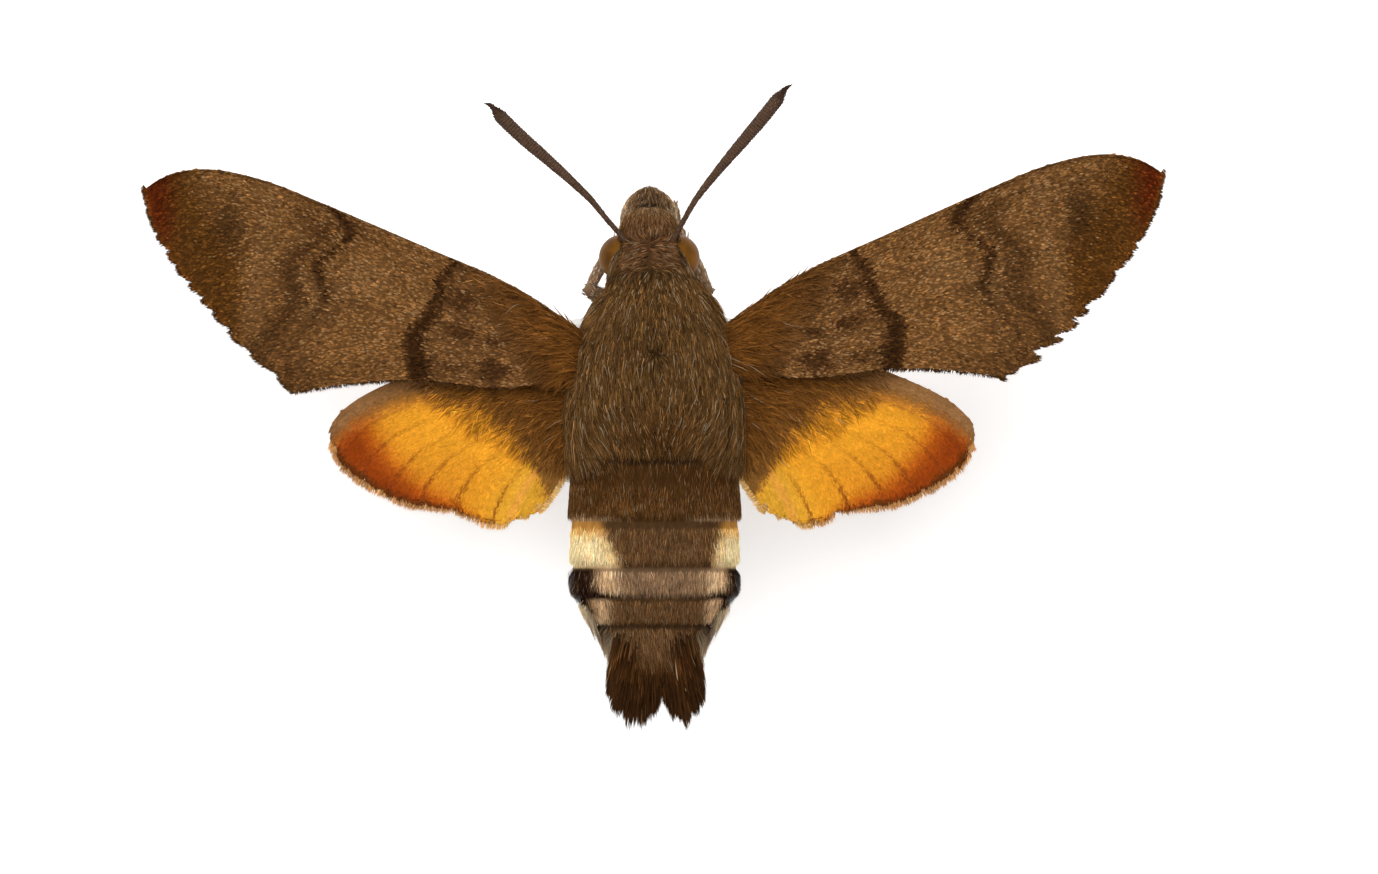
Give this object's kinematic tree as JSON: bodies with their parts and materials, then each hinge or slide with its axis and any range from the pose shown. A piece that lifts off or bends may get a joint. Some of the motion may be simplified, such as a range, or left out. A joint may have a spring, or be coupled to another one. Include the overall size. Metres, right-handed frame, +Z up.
{
  "type": "hummingbird hawk moth",
  "caption": "Hummingbird hawk moth with spread wings, set as a life-size museum specimen and held on a small stand by one short rod.",
  "frame": {"origin": "on the surface that the stand rests on, under the middle of the model's box, which is the middle of the wing span from side to side and of antenna tips to tail tip from front to back", "axes": "+Z up; +Y forward, from the tail to the head; +X towards the moth's right wing"},
  "size_m": [0.0461, 0.0292, 0.0141],
  "materials": {
    "coat": "matte",
    "snout": "matte",
    "forewing": "matte",
    "hindwing": "matte",
    "eye": "gloss",
    "antenna": "matte",
    "leg": "matte",
    "proboscis": "satin",
    "tail": "matte",
    "stand": "satin",
    "rod": "satin"
  },
  "bodies": {
    "root": {"head": "coat", "thorax": "coat", "abdomen": "coat", "tail_tuft": "tail", "proboscis": "proboscis", "eye_right": "eye", "palp_right": "snout", "antenna_right": "antenna", "forewing_right": "forewing", "hindwing_right": "hindwing", "leg_fore_right": "leg", "leg_middle_right": "leg", "leg_hind_right": "leg", "eye_left": "eye", "palp_left": "snout", "antenna_left": "antenna", "forewing_left": "forewing", "hindwing_left": "hindwing", "leg_fore_left": "leg", "leg_middle_left": "leg", "leg_hind_left": "leg", "stand_foot": "stand", "stand_rod": "rod"}
  },
  "joints": []
}
